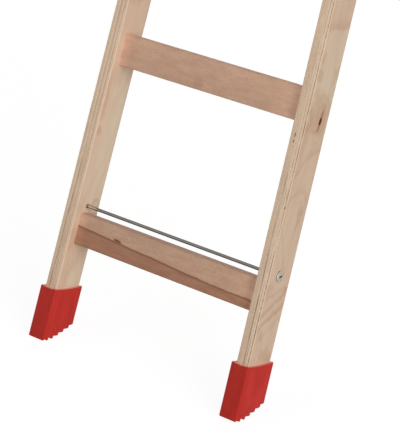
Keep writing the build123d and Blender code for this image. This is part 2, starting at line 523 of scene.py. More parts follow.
# Marks that the photograph shows on the inner face of the left stile and on the outer face of the
# right one. Places are depth from the front edge and distance up the stile.
# A stain has its place, two reaches and a strength.
STAINS = {
    "left": (
        (0.0090, 0.336, 0.0055, 0.009, 0.45),
        (0.0060, 0.390, 0.0070, 0.040, 0.30),
        (0.0300, 0.140, 0.0300, 0.060, 0.25),
        (0.0200, 0.418, 0.0170, 0.026, 0.22),
        (0.0420, 0.226, 0.0080, 0.006, 0.40),
        (0.0110, 0.172, 0.0140, 0.024, 0.34),
        (0.0200, 0.550, 0.0300, 0.022, 0.28),
    ),
    "right": (
        (0.0390, 0.308, 0.0080, 0.024, 0.40),
        (0.0100, 0.447, 0.0100, 0.022, 0.35),
        (0.0080, 0.538, 0.0080, 0.016, 0.30),
        (0.0480, 0.512, 0.0080, 0.018, 0.30),
        (0.0380, 0.098, 0.0260, 0.016, 0.36),
        (0.0230, 0.430, 0.0120, 0.007, 0.35),
        (0.0270, 0.462, 0.0450, 0.032, 0.36),
        (0.0070, 0.506, 0.0110, 0.020, 0.42),
        (0.0080, 0.418, 0.0180, 0.026, 0.28),
        (0.0060, 0.196, 0.0110, 0.014, 0.34),
        (0.0130, 0.124, 0.0110, 0.012, 0.30),
    ),
}

# A band of late wood starts sharply, over the heights of BAND_START, and fades upward. It has its level
# at the front edge, the slope and bend of its line, the reach of its fading and a strength.
BANDS = (
    (0.574, 0.10, 0.0, 0.018, 0.34),
    (0.352, 1.63, -13.7, 0.022, 0.30),
    (0.317, 1.52, -27.4, 0.014, 0.25),
    (0.288, -2.07, 0.0, 0.012, 0.25),
    (0.178, 0.35, 0.0, 0.010, 0.35),
    (0.150, 0.72, 1.4, 0.014, 0.50),
    (0.131, 0.72, 1.4, 0.014, 0.55),
    (0.112, 0.72, 1.4, 0.010, 0.25),
)
BAND_START = (-0.0030, 0.0026)

# A slit knot: its place and lean, the reaches of its bed and of its dark core, the levels between
# which its tails fade in and out, and its growth rings, as share of the bed and strength
KNOT_DEPTH = 0.0350
KNOT_LEVEL = 0.4440
KNOT_LEAN = 0.13
KNOT_BED = (0.0105, 0.024)
KNOT_CORE = (0.0040, 0.0072)
KNOT_CORE_DROP = 0.0008
KNOT_TAIL_START = (0.4235, 0.431)
KNOT_TAIL_END = (0.470, 0.452)
KNOT_TAIL_REACH = (0.0044, 0.0006)
KNOT_RINGS = ((1.0, 0.30), (1.5, 0.15))

# Reach of the painted shade round a rod's hole, and how far its middle is under the rod's
HOLE_SHADE_REACH = 0.0050
HOLE_SHADE_DROP = 0.0004

# Painted highlight as a pale line along the front corner of the marked faces, how light each stile's
# board is, where the left one is lighter as painted light against the shade on its inner face, and the
# levels and strength of the pinker veneer high on it
CORNER_REACH = 0.0030
CORNER_HIGHLIGHTS = {"left": 0.36, "right": 0.30}
STILE_SHADE_LIFT = {"left": 1.07, "right": 1.01}
PINK_ABOVE = {"left": (0.470, 0.525, 0.5), "right": (0.573, 0.581, 0.45)}

# Painted light on the wood just over the shoe's rim, against the shade there: how far its line is under
# the rim's corners, and its reach and strength
RIM_LIGHT_SAG = 0.0008
RIM_LIGHT_REACH = 0.0026
RIM_LIGHT_STRENGTH = 0.55


def veneer_colour(look, side, seed, inside, fibre):
    """Peeled veneer: slow patches of two tones, faint contour lines, and the marks of each stile."""
    depth = look.y
    along = look.z
    outer = inside.step(STILE_THICKNESS * 0.4, STILE_THICKNESS * 0.6)
    inner = 1.0 - outer
    shown = outer if side == "right" else inner
    face = (outer * 5.1 + seed, depth, along)
    mottle = look.noise(face, (1.0, 34.0, 10.0), 3.0, 0.55, 0.8)
    cloud = look.noise(face, (1.0, 150.0, 70.0), 3.0, 0.6)
    streaks = look.noise(face, (1.0, 260.0, 3.5), 3.0, 0.6)
    field = look.noise(face, (1.0, 15.0, 2.8), 1.5, 0.45, 0.3)
    wobble = mottle.swing(0.014) + cloud.swing(0.007)

    # The marked face is pinker high up, and low on the right stile or in front on the left one
    low, high, pinkness = PINK_ABOVE[side]
    apart = along.step(0.480, 0.430) if side == "right" else depth.step(0.040, 0.0)
    pink = ((along + wobble).step(low, high) + apart) * pinkness * shown
    warmth = mottle.step(0.34, 0.66) * 0.30 + cloud.step(0.36, 0.64) * 0.22 + pink
    colour = look.mix(warmth, VENEER_PALE, VENEER_PINK)
    colour = look.mix(late_wood(field, 0.4) * 0.10, colour, VENEER_BROWN)
    for place, level, reach, height, strength in STAINS[side]:
        across = depth + cloud.swing(2.6 * reach)
        up = along + mottle.swing(3.5 * height)
        stain = spot(across, up, place, level, reach, height)
        colour = look.mix(stain * shown * strength, colour, VENEER_BROWN)
    # Painted shade round each rod's hole, set a little under the rod as its shadow
    for level in rod_levels.values():
        hole_shade = spot(depth, along, ROD_DEPTH, level - HOLE_SHADE_DROP, HOLE_SHADE_REACH, HOLE_SHADE_REACH)
        colour = look.mix(hole_shade * inner, colour, KNOT_AND_SHADE_BROWN)
    if side == "right":
        for level, slope, bend, fade, strength in BANDS:
            line = (depth * bend + slope) * depth + level
            above = along - line + wobble * 1.5
            band = above.step(*BAND_START) * above.step(fade, 0.0)
            colour = look.mix(band * shown * strength, colour, VENEER_BROWN)
        colour = knotted(look, colour, shown, wobble)
    # Painted highlight: a pale line along the front corner of the face
    corner = depth.step(CORNER_REACH, CORNER_REACH * 0.4)
    colour = look.mix(corner * shown * CORNER_HIGHLIGHTS[side], colour, PLY_CREAM)
    grain = fibre.swing(0.12) + streaks.swing(0.08) + cloud.swing(0.10)
    # The board's tone lightens the left stile as painted light against the shade on its inner face
    return look.tint(colour, grain + STILE_SHADE_LIFT[side])


def knotted(look, colour, shown, wobble):
    """Colour with a slit knot: a dark core with brown tails in a reddish bed with growth rings."""
    far = square_from(look.y, look.z, KNOT_DEPTH, KNOT_LEVEL, *KNOT_BED) ** 0.5 + wobble * 70.0
    colour = look.mix(far.step(1.0, 0.25) * shown * 0.45, colour, KNOT_RED)
    for ring, strength in KNOT_RINGS:
        arc = far.step(ring - 0.22, ring) * far.step(ring + 0.08, ring)
        colour = look.mix(arc * shown * strength, colour, VENEER_BROWN)
    middle = (look.z - KNOT_LEVEL) * KNOT_LEAN + wobble * 0.25 + KNOT_DEPTH
    off = abs(look.y - middle)
    tail = off.step(*KNOT_TAIL_REACH) * look.z.step(*KNOT_TAIL_START) * look.z.step(*KNOT_TAIL_END)
    colour = look.mix(tail * shown * 0.68, colour, KNOT_AND_SHADE_BROWN)
    core = spot(off, look.z, 0.0, KNOT_LEVEL - KNOT_CORE_DROP, *KNOT_CORE)
    return look.mix(core.step(0.05, 0.65) * shown, colour, KNOT_DARK)


def ply_edge(look, side, seed, inside, fibre):
    """Colour of the edges, with long grain and end grain in turn, and where their glue lines are."""
    along = look.z
    wave = look.noise((seed, look.y, along), (1.0, 30.0, 7.0)) - 0.5
    ply = (inside - STILE_THICKNESS / 2) / PLY + wave * 0.3 + PLY_COUNT / 2
    share = ply / PLY_COUNT
    layer = ply.math("FLOOR")
    pores = look.noise((inside, look.y, along), (800.0, 800.0, 330.0), 3.0, 0.6)
    drift = look.noise((layer, 2.2, along), (3.7, 1.0, 14.0), 3.0, seed=seed)
    crossed = layer.math("MODULO", 2.0).span(0.5, 1.0)
    handled = along.step(0.08, 0.55).span(*EDGE_TONES[side])
    edge = look.mix(look.steps(share, PLY_TONES[side], 0.0), PLY_CREAM, PLY_TAN)
    edge = look.tint(edge, handled + pores.swing(crossed) + fibre.swing(0.25) + drift.swing(0.3))
    near = 0.5 - abs(ply.math("FRACT") - 0.5)
    fade = look.noise((layer, 4.4, along), (1.3, 1.0, 30.0), 3.0, 0.6, seed=seed)
    darkness = look.steps(share, (0.0, *LINE_TONES[side], 0.0), 0.5)
    broken = fade.step(0.36, 0.62).span(0.1, 1.25)
    line = (near.step(0.22, 0.05) * darkness * broken).math("MINIMUM", 1.0)
    edge = look.mix(line, edge, GLUE_LINE)
    shown = fade.step(0.3, 0.6).span(0.3, 1.0) * along.step(0.36, 0.2).span(0.15, 1.0)
    for place, drop, strength in VEINS[side]:
        middle = (VEIN_LEVEL - along) * drop + wave * 0.003 + place
        vein = abs(inside - middle).step(VEIN_REACH, VEIN_REACH / 4)
        edge = look.mix(vein * shown * strength, edge, GLUE_LINE)
    if side == "right":
        edge = specked(look, edge, inside, pores)
    return edge, line


def specked(look, edge, inside, pores):
    """Edge with the specks of a cut knot and a crack that comes and goes."""
    along = look.z
    ragged = pores.step(0.35, 0.65).span(1.15, 0.6)
    for place, level, length, strength in EDGE_SPECKS:
        speck = spot(inside, along, place, level, SPECK_REACH, length).step(0.05, 0.7)
        edge = look.mix(speck * ragged * strength, edge, KNOT_AND_SHADE_BROWN)
    dots = look.noise((2.7, 8.1, along), (1.0, 1.0, 170.0)).step(0.42, 0.55)
    high = along.step(0.43, 0.50) * 0.6
    open_share = along.step(0.30, 0.17).math("MAXIMUM", high).math("MAXIMUM", 0.25)
    crack = abs(inside - CRACK_PLACE).step(CRACK_REACH, CRACK_REACH / 5)
    return look.mix(crack * dots * open_share * 0.7, edge, KNOT_AND_SHADE_BROWN)


def stile_look(side, piece_frame, seed):
    """Laminated wood: veneer on the faces, plies at the edges, and a line of painted light over the
    shoe.
    """
    look = Look(f"{side}_stile_plies", piece_frame, {"Specular IOR Level": 0.3})
    inside = abs(look.x)
    broad = abs(look.facing((1, 0, 0))).step(0.70, 0.95)
    fibre = look.noise((inside, look.y, look.z), (1300.0, 1300.0, 22.0), 4.0, 0.6)
    veneer = veneer_colour(look, side, seed, inside, fibre)
    edge, line = ply_edge(look, side, seed, inside, fibre)
    # Painted light on the wood just over the shoe's rim, against the shade of the rim
    share = (look.y - foot_front) / foot_depth
    bow = share * (1.0 - share) * (4 * FOOT_SIDE_SAG)
    tilt = share * (FOOT_RIM_RISE - FOOT_FRONT_LIFT - FOOT_BACK_DROP)
    rim = tilt + (FOOT_RIM_FRONT + FOOT_FRONT_LIFT - RIM_LIGHT_SAG) - bow
    above = look.z + inside * sin(taper) - rim
    rim_light = above.step(RIM_LIGHT_REACH, RIM_LIGHT_REACH * 0.3) * RIM_LIGHT_STRENGTH
    look.drive("Base Color", look.mix(rim_light, look.mix(broad, edge, veneer), WOOD_PAINTED_LIGHT))
    look.drive("Roughness", fibre.span(0.52, 0.74))
    look.bump(fibre - line * (1.0 - broad), 0.00008, 0.6)
    return look


BEECH_PALE = shade(214, 175, 148)
BEECH_PINK = shade(198, 158, 133)
BEECH_RING = shade(180, 138, 112)
BEECH_FLECK = shade(156, 112, 86)
HEART = shade(185, 135, 108)
HEART_RING = shade(167, 120, 95)
HEART_EDGE = shade(128, 82, 60)

# Every rung's own tone: rungs come from different planks
RUNG_TONES = (0.925, 1.01, 0.96, 1.02, 0.94, 1.0, 0.95)

# Rungs are painted paler towards their ends, most of all at the right, as painted light against the
# shade by the stiles: how far from the end this starts, and how much it adds at the end
RUNG_END_LIGHT = (0.020, 0.31)
RUNG_RIGHT_END_LIGHT = (0.075, 0.36)

# Red heart in the lower part of the first rung: its border falls from left to right, then levels out,
# and a knot arches over it
HEART_MIDDLE = -0.0047
HEART_SLOPE = -0.0525
HEART_LOWEST = -0.0098
HEART_KNOT = (-0.0945, 0.0006)
HEART_ARCH = (0.0105, 0.0044)
HEART_EYE = (0.0090, 0.0021)
HEART_EYE_LIFT = 0.0026

# Middle and reaches of a faint smear on the second rung
SMEAR = (-0.019, -0.015, 0.012, 0.013)


def hearted(look, colour, mottle, late):
    """Colour with red heart below a rippled border that has a dark rim and a small knot."""
    ripple = look.noise((look.x, look.y, 3.3), (60.0, 30.0, 1.0), 3.0) - 0.5
    border = (look.x * HEART_SLOPE + HEART_MIDDLE).math("MAXIMUM", HEART_LOWEST)
    below = border + ripple * 0.0032 - look.z
    heart = look.mix(mottle.step(0.3, 0.7), HEART, HEART_RING)
    heart = look.mix(late * 0.2, heart, HEART_EDGE)
    knot_x, knot_z = HEART_KNOT
    arch = spot(look.x, look.z, knot_x, knot_z, *HEART_ARCH)
    colour = look.mix(arch.step(0.05, 0.4), colour, heart)
    tilted = look.z + (look.x - knot_x) * 0.09
    eye = spot(look.x, tilted, knot_x, knot_z + HEART_EYE_LIFT, *HEART_EYE)
    colour = look.mix(eye.step(0.03, 0.5) * 0.95, colour, KNOT_AND_SHADE_BROWN)
    colour = look.mix(below.step(-0.0024, 0.0006), colour, heart)
    rim = below.step(-0.0020, 0.0005) * below.step(0.0030, 0.0006)
    return look.mix(rim * ripple.span(0.7, 0.9), colour, HEART_EDGE)


def rung_look(number, piece_frame, half_length):
    """Beech with its grain across the ladder: faint growth rings, fine pores and short ray flecks."""
    look = Look(f"rung_{number}_beech", piece_frame, {"Specular IOR Level": 0.25})
    seed = 5.3 * number
    late = late_wood(look.noise(look.place, (2.2, 26.0, 26.0), distortion=0.2, seed=seed), 0.5)
    mottle = look.noise(look.place, (26.0, 90.0, 90.0), 4.0, 0.6, seed=seed)
    flecks = look.noise(look.place, (190.0, 1500.0, 1500.0), 1.0, seed=seed).step(0.58, 0.68)
    pores = look.noise(look.place, (60.0, 2600.0, 2600.0), seed=seed)
    colour = look.mix(mottle.step(0.32, 0.68), BEECH_PALE, BEECH_PINK)
    colour = look.mix(late * 0.14, colour, BEECH_RING)
    if number == 1:
        colour = hearted(look, colour, mottle, late)
    if number == 2:
        colour = look.mix(spot(look.x, look.z, *SMEAR) * 0.35, colour, BEECH_RING)
    colour = look.mix(flecks * 0.4, colour, BEECH_FLECK)
    tone = pores.swing(0.14) + mottle.swing(0.2) + RUNG_TONES[number - 1]
    # Painted light: paler ends, most of all at the right, and a paler right half, against the shade by
    # the stiles
    for place, reach, strength in ((abs(look.x), *RUNG_END_LIGHT), (look.x, *RUNG_RIGHT_END_LIGHT)):
        tone += place.step(half_length - reach, half_length) * strength
    tone += look.x.step(0.010, 0.070) * 0.05
    # Painted shade: rungs above the first are lighter at the top and darker at the bottom
    if number > 1:
        tone += look.z.step(-RUNG_HEIGHT / 2, RUNG_HEIGHT / 2).swing(0.11)
    look.drive("Base Color", look.tint(colour, tone))
    look.drive("Roughness", pores.span(0.6, 0.8))
    look.bump(pores - flecks * 0.5, 0.00006, 0.5)
    return look


ROD_STEEL = shade(103, 99, 94)
# Colour of the rod's painted reflection of the wood
ROD_REFLECTION = shade(226, 222, 212)
NUT_ZINC = shade(188, 177, 162)
NUT_FILM = shade(170, 163, 149)
# Dark of the painted shade in the nut slots and of the painted shadow at the rod's end
RECESS_SHADE = shade(52, 42, 38)

# Distances from the left stile between which the painted reflection of the wood fades in, and the
# painted shadow at the hole begins
ROD_REFLECTION_REACH = (0.025, 0.006)
ROD_END_SHADOW = (0.0045, 0.0010)

# Painted shade in a nut's slot: how deep under the face it starts and is full, and its reach from the
# middle
SLOT_SHADE_DEPTHS = (0.0001, 0.0006)
SLOT_SHADE_REACH = 0.0052


def rod_look(name, piece_frame, reach):
    """Drawn steel: fine lines along the rod, painted shade that darkens its lower side, and by the left
    stile a painted reflection of the wood and a painted shadow at the hole.
    """
    look = Look(name, piece_frame, {"Metallic": 1.0})
    lines = look.noise(look.place, (25.0, 5200.0, 5200.0), 3.0)
    cloud = look.noise(look.place, (60.0, 300.0, 300.0), 3.0)
    # Painted shade: the steel is lighter on the rod's upper side and darker on its lower side
    upper = look.z.step(-ROD_RADIUS, ROD_RADIUS)
    shaded_steel = look.tint(ROD_STEEL[:3], upper.span(0.62, 1.35) + cloud.swing(0.3) + lines.swing(0.25))
    # Painted reflection of the wood by the left stile, with a bright stripe along the rod's middle
    reflection_stripe = upper.step(0.10, 0.42) * upper.step(0.98, 0.75).span(0.4, 1.0)
    painted_reflection = look.tint(ROD_REFLECTION[:3], reflection_stripe.span(0.14, 1.15))
    from_stile = look.x + reach
    colour = look.mix(from_stile.step(*ROD_REFLECTION_REACH), shaded_steel, painted_reflection)
    # Painted shadow on the rod's last few millimetres at the left stile's hole
    look.drive("Base Color", look.mix(from_stile.step(*ROD_END_SHADOW) * 0.6, colour, RECESS_SHADE))
    look.drive("Roughness", lines.span(0.2, 0.42))
    look.bump(lines, 0.00002, 0.4)
    return look


def nut_look(name, piece_frame):
    """Zinc plating with a faint cloudy film, and painted shade in the driver slot."""
    look = Look(name, piece_frame, {"Metallic": 1.0})
    film = look.noise(look.place, (260.0,) * 3, 3.0)
    grit = look.noise(look.place, (1500.0,) * 3, 3.0)
    colour = look.mix(film.step(0.35, 0.65), NUT_ZINC, NUT_FILM)
    colour = look.tint(colour, grit.swing(0.3) + 1.0)
    # Painted shade at the bottom of the driver slot
    deep = (NUT_HEAD_THICKNESS - abs(look.x)).step(*SLOT_SHADE_DEPTHS)
    middle = spot(look.y, look.z, 0.0, 0.0, SLOT_SHADE_REACH, SLOT_SHADE_REACH)
    look.drive("Base Color", look.mix(deep * middle.step(0.0, 0.1), colour, RECESS_SHADE))
    look.drive("Roughness", grit.span(0.34, 0.55))
    look.bump(grit, 0.00003, 0.4)
    return look


RED = shade(186, 45, 37)
RED_DEEP = shade(175, 41, 33)
RED_WORN = shade(200, 62, 50)
# Colour of the painted highlight on the shoes' lips
RED_PAINTED_HIGHLIGHT = shade(250, 168, 140)

# The lip's painted highlight: how far under the rim's front it starts and is full, and how far from the
# wood it starts to fade in and is full
LIP_DROP = (0.006, 0.003)
LIP_REACH = (0.0058, 0.0030)


def shoe_look(name):
    """Moulded red rubber: a fine even grain, faint flow streaks, paler worn crests, and a painted
    highlight on the lip by the wood.
    """
    look = Look(name, ladder_frame, {"Specular IOR Level": 0.12})
    flow = look.noise(look.place, (60.0, 60.0, 22.0), 3.0, 0.5, 0.6)
    grain = look.noise(look.place, (2400.0,) * 3)
    colour = look.mix(flow.step(0.3, 0.72), RED, RED_DEEP)
    crest = look.node("NewGeometry", {}, out="Pointiness")
    colour = look.mix(crest.step(0.53, 0.62) * grain.span(0.2, 0.6), colour, RED_WORN)
    stile_middle = half_width_at(FOOT_RIM_FRONT + FOOT_RIM_RISE / 2) + STILE_THICKNESS / 2
    aside = abs(abs(look.x) - stile_middle) - STILE_THICKNESS / 2
    ahead = abs(look.y - mid_depth) - mid_depth
    # Painted highlight on the up-facing lip next to the wood
    by_wood = aside.math("MAXIMUM", ahead).step(*LIP_REACH)
    high = (FOOT_RIM_FRONT - look.z).step(*LIP_DROP)
    lip_highlight = look.facing((0, 0, 1)).step(0.55, 0.9) * high * by_wood
    colour = look.mix(lip_highlight * grain.span(0.7, 1.0), colour, RED_PAINTED_HIGHLIGHT)
    look.drive("Base Color", look.tint(colour, grain.swing(0.12) + 1.0))
    look.drive("Roughness", flow.span(0.42, 0.55) + grain * 0.06)
    look.bump(grain, 0.00008, 0.35)
    return look


# Stiles: laminated boards with rounded edges, a fine groove at each glue line, mortises and holes


def stile_outline(inset):
    """Side view of a stile, as depth and distance up the stile, with its edges moved in."""
    front = inset
    rear = STILE_DEPTH - inset
    radius = STILE_TOP_RADIUS - inset
    shoulder = stile_top - STILE_TOP_RADIUS
    outline = [(front, level_at(SOLE_THICKNESS, front)), (rear, level_at(SOLE_THICKNESS, rear))]
    for middle, start in ((STILE_DEPTH - STILE_TOP_RADIUS, 0), (STILE_TOP_RADIUS, pi / 2)):
        for step in range(TOP_STEPS + 1):
            angle = start + pi / 2 * step / TOP_STEPS
            outline.append((middle + radius * cos(angle), shoulder + radius * sin(angle)))
    return outline


def stile_mesh(outward):
    """Board with its cuts, in the frame of the stile."""
    layers = quarter_turn(STILE_ROUNDING, ROUND_STEPS)
    far_layers = [(STILE_THICKNESS - place, inset) for place, inset in reversed(layers)]
    half_groove = GLUE_GROOVE_WIDTH / 2
    for number in range(1, PLY_COUNT):
        glue = STILE_THICKNESS / 2 + (number - PLY_COUNT / 2) * PLY
        from_face = min(glue, STILE_THICKNESS - glue)
        if STILE_ROUNDING < from_face - GLUE_GROOVE_WIDTH:
            layers += [(glue - half_groove, 0), (glue, GLUE_GROOVE_DEPTH), (glue + half_groove, 0)]
    layers += far_layers
    board = solid_of([
        [(outward * place, depth, along) for depth, along in stile_outline(inset)]
        for place, inset in layers
    ])
    cuts = []
    spare = 2 * MORTISE_CLEARANCE
    mortise = slot_outline(TENON_HEIGHT + spare, TENON_THICKNESS + spare)
    for level in rung_levels:
        mouth = half_width_at(level) - CUTTER_REACH
        bottom = half_width_at(level) + TENON_LENGTH + MORTISE_END_GAP
        cuts.append(solid_of([
            [(outward * x, mid_depth + a, level + b) for a, b in mortise] for x in (mouth, bottom)
        ]))
    for level in rod_levels.values():
        entry = ROD_RADIUS + ROD_HOLE_CLEARANCE
        hole = NUT_BARREL_RADIUS + NUT_HOLE_CLEARANCE
        seat = NUT_HEAD_RADIUS + NUT_HEAD_CLEARANCE
        bed = seat_at(level)
        step = bed - NUT_BARREL_LENGTH - NUT_HOLE_CLEARANCE
        profile = [
            (half_width_at(level) - CUTTER_REACH, entry),
            (step, entry),
            (step, hole),
            (bed, hole),
            (bed, seat),
            (bed + CUTTER_REACH, seat),
        ]
        cuts.append(solid_of([
            [(outward * x, ROD_DEPTH + a, level + b) for x, a, b in ring]
            for ring in turned_rings(profile, HOLE_STEPS)
        ]))
    tool = joined(cuts)
    tool.transform(stile_frame(outward).inverted())
    return combined(board, tool, "DIFFERENCE")


STILE_SEEDS = {"left": 4.6, "right": 11.3}
for side, outward in outward_of.items():
    piece_frame = ladder_frame @ stile_frame(outward)
    add_piece(
        f"{side}_stile_board",
        stile_mesh(outward),
        piece_frame,
        stile_look(side, piece_frame, STILE_SEEDS[side]),
        f"{side}_stile",
    )

# Rungs: bars with rounded edges and tapered shoulders, and a tenon through the middle

for number, level in enumerate(rung_levels, start=1):
    profile = rounded_box_outline(RUNG_DEPTH / 2, RUNG_HEIGHT / 2, RUNG_ARRIS, ARRIS_STEPS)
    bar = solid_of([
        [((2 * station / RUNG_STATIONS - 1) * half_width_at(level + z), y, z) for y, z in profile]
        for station in range(RUNG_STATIONS + 1)
    ])
    end = half_width_at(level) + TENON_LENGTH
    tenon = solid_of([
        [(x, a, b) for a, b in slot_outline(TENON_HEIGHT, TENON_THICKNESS)] for x in (-end, end)
    ])
    piece_frame = ladder_frame @ Matrix.Translation((0, mid_depth, level))
    add_piece(
        f"rung_{number}_bar",
        combined(bar, tenon, "UNION"),
        piece_frame,
        rung_look(number, piece_frame, half_width_at(level)),
        f"rung_{number}",
    )

# Tie rods: drawn rods with rolled threads at both ends

for end, level in rod_levels.items():
    half_length = seat_at(level) - ROD_END_INSET
    half_profile = [(half_length, ROD_RADIUS - 2 * THREAD_DEPTH)]
    turns = int(THREAD_LENGTH / THREAD_PITCH)
    for turn in range(turns):
        crest = half_length - THREAD_DEPTH - turn * THREAD_PITCH
        root = (crest - THREAD_PITCH / 2, ROD_RADIUS - THREAD_DEPTH)
        half_profile += [(crest, ROD_RADIUS), root]
    half_profile.append((half_length - THREAD_DEPTH - turns * THREAD_PITCH, ROD_RADIUS))
    profile = half_profile + [(-place, radius) for place, radius in reversed(half_profile)]
    piece_frame = ladder_frame @ Matrix.Translation((0, ROD_DEPTH, level))
    add_piece(
        f"{end}_tie_rod_drawn",
        solid_of(turned_rings(profile, ROD_STEPS)),
        piece_frame,
        rod_look(f"{end}_rod_steel", piece_frame, half_width_at(level)),
        f"{end}_tie_rod",
    )

# Tie nuts: turned heads with a softened edge and a driver slot, and a barrel with a blind bore


def nut_profile():
    """Place and radius pairs from the middle of the head's face to the bottom of the bore."""
    edge = quarter_turn(NUT_SOFTENING, NUT_EDGE_STEPS)
    mouth = -NUT_BARREL_LENGTH
    return [
        (NUT_HEAD_THICKNESS, POLE),
        *((NUT_HEAD_THICKNESS - drop, NUT_HEAD_RADIUS - inset) for drop, inset in edge),
        (0, NUT_HEAD_RADIUS),
        (0, NUT_BARREL_RADIUS),
        (mouth + NUT_MOUTH_CHAMFER, NUT_BARREL_RADIUS),
        (mouth, NUT_BARREL_RADIUS - NUT_MOUTH_CHAMFER),
        (mouth, NUT_BORE_RADIUS),
        (-ROD_END_INSET, NUT_BORE_RADIUS),
        (-ROD_END_INSET, POLE),
    ]


for end, level in rod_levels.items():
    for side, outward in outward_of.items():
        profile = [(outward * place, radius) for place, radius in nut_profile()]
        turned = solid_of(turned_rings(profile, NUT_STEPS))
        outline = rounded_box_outline(NUT_SLOT_WIDTH / 2, NUT_SLOT_LENGTH / 2, SLOT_CORNER, SLOT_STEPS)
        slot = solid_of([
            [(outward * x, a, b) for a, b in outline]
            for x in (NUT_HEAD_THICKNESS - NUT_SLOT_DEPTH, NUT_HEAD_THICKNESS + CUTTER_REACH)
        ])
        slot.transform(Matrix.Rotation(radians(NUT_SLOT_ANGLES[f"{end}_{side}"] - 90), 4, "X"))
        piece_frame = ladder_frame @ Matrix.Translation((outward * seat_at(level), ROD_DEPTH, level))
        add_piece(
            f"{end}_{side}_nut_turned",
            combined(turned, slot, "DIFFERENCE"),
            piece_frame,
            nut_look(f"{end}_{side}_nut_zinc", piece_frame),
            f"{end}_{side}_tie_nut",
        )

# Shoes: moulded sockets with round corners, a soft lip at the rim and a stepped sole


def rounded_path(corners, cut, most=0.4):
    """Path of pairs whose corners are rounded off, by a share of their sides at most."""
    path = [corners[0]]
    for before, corner, after in zip(corners, corners[1:], corners[2:]):
        ends = []
        for other in (before, after):
            gap = sqrt((other[0] - corner[0]) ** 2 + (other[1] - corner[1]) ** 2)
            share = min(cut / gap, most)
            ends.append(tuple(c + (o - c) * share for c, o in zip(corner, other)))
        middle = tuple((a + 2 * c + b) / 4 for a, c, b in zip(ends[0], corner, ends[1]))
        path += [ends[0], middle, ends[1]]
    path.append(corners[-1])
    return path


def sole_path():
    """Side view of the sole, as depth and distance up the ladder, from toe to heel."""
    land_depth = SOLE_TIP_LAND * lean_sin
    corners = []
    for tooth in range(SOLE_TEETH + 1):
        if tooth < SOLE_TOE_TEETH:
            lift = SOLE_TOE_LIFT * (1 - tooth / SOLE_TOE_TEETH) ** SOLE_ROCKER
        else:
            heel_share = (tooth - SOLE_TOE_TEETH) / (SOLE_TEETH - SOLE_TOE_TEETH)
            lift = SOLE_HEEL_LIFT * heel_share ** SOLE_ROCKER
        land_front = max(foot_front, foot_front + foot_depth * tooth / SOLE_TEETH - land_depth)
        land_back = land_front + land_depth
        corners.append((land_front, level_at(0, land_front) + lift))
        corners.append((land_back, level_at(0, land_back) + lift))
        if tooth < SOLE_TEETH:
            top = level_at(0, land_back) + lift + SOLE_TOOTH_DEPTH
            corners.append((land_back + RISER_DRAFT, top))
    return rounded_path(corners, TOOTH_ROUNDING)


def level_on(path, depth):
    """Level of a path at a depth."""
    for (depth_a, level_a), (depth_b, level_b) in zip(path, path[1:]):
        if depth_a <= depth <= depth_b and depth_b > depth_a:
            return level_a + (level_b - level_a) * (depth - depth_a) / (depth_b - depth_a)
    return path[-1][1]


def foot_stations():
    """Depths from toe to heel with the sole's level, the half width and its outward direction."""
    sole = sole_path()
    closest = 0.00008
    stations = list(sole)
    for run, _ in quarter_turn(FOOT_CORNER, CORNER_STEPS)[1:]:
        for depth in (foot_front + run, foot_back - run):
            if min(abs(depth - other) for other, _ in stations) > closest:
                stations.append((depth, level_on(sole, depth)))
    stations.sort()
    rows = []
    for depth, level in stations:
        beyond = max(foot_front + FOOT_CORNER - depth, depth - (foot_back - FOOT_CORNER), 0)
        lean_in = min(beyond / FOOT_CORNER, 1)
        outward_part = sqrt(1 - lean_in ** 2)
        back_part = -lean_in if depth < mid_depth else lean_in
        width = foot_half_width - FOOT_CORNER * (1 - outward_part)
        rows.append((depth, level, width, outward_part, back_part))
    return rows


def wall_columns(row, direction):
    """Columns between the corners of a shoe's front or back wall, in a direction across it."""
    depth, level, width, _, back_part = row
    shares = [direction * (2 * step / WALL_STEPS - 1) for step in range(1, WALL_STEPS)]
    return [(1, depth, level, width * share, 0.0, back_part) for share in shares]


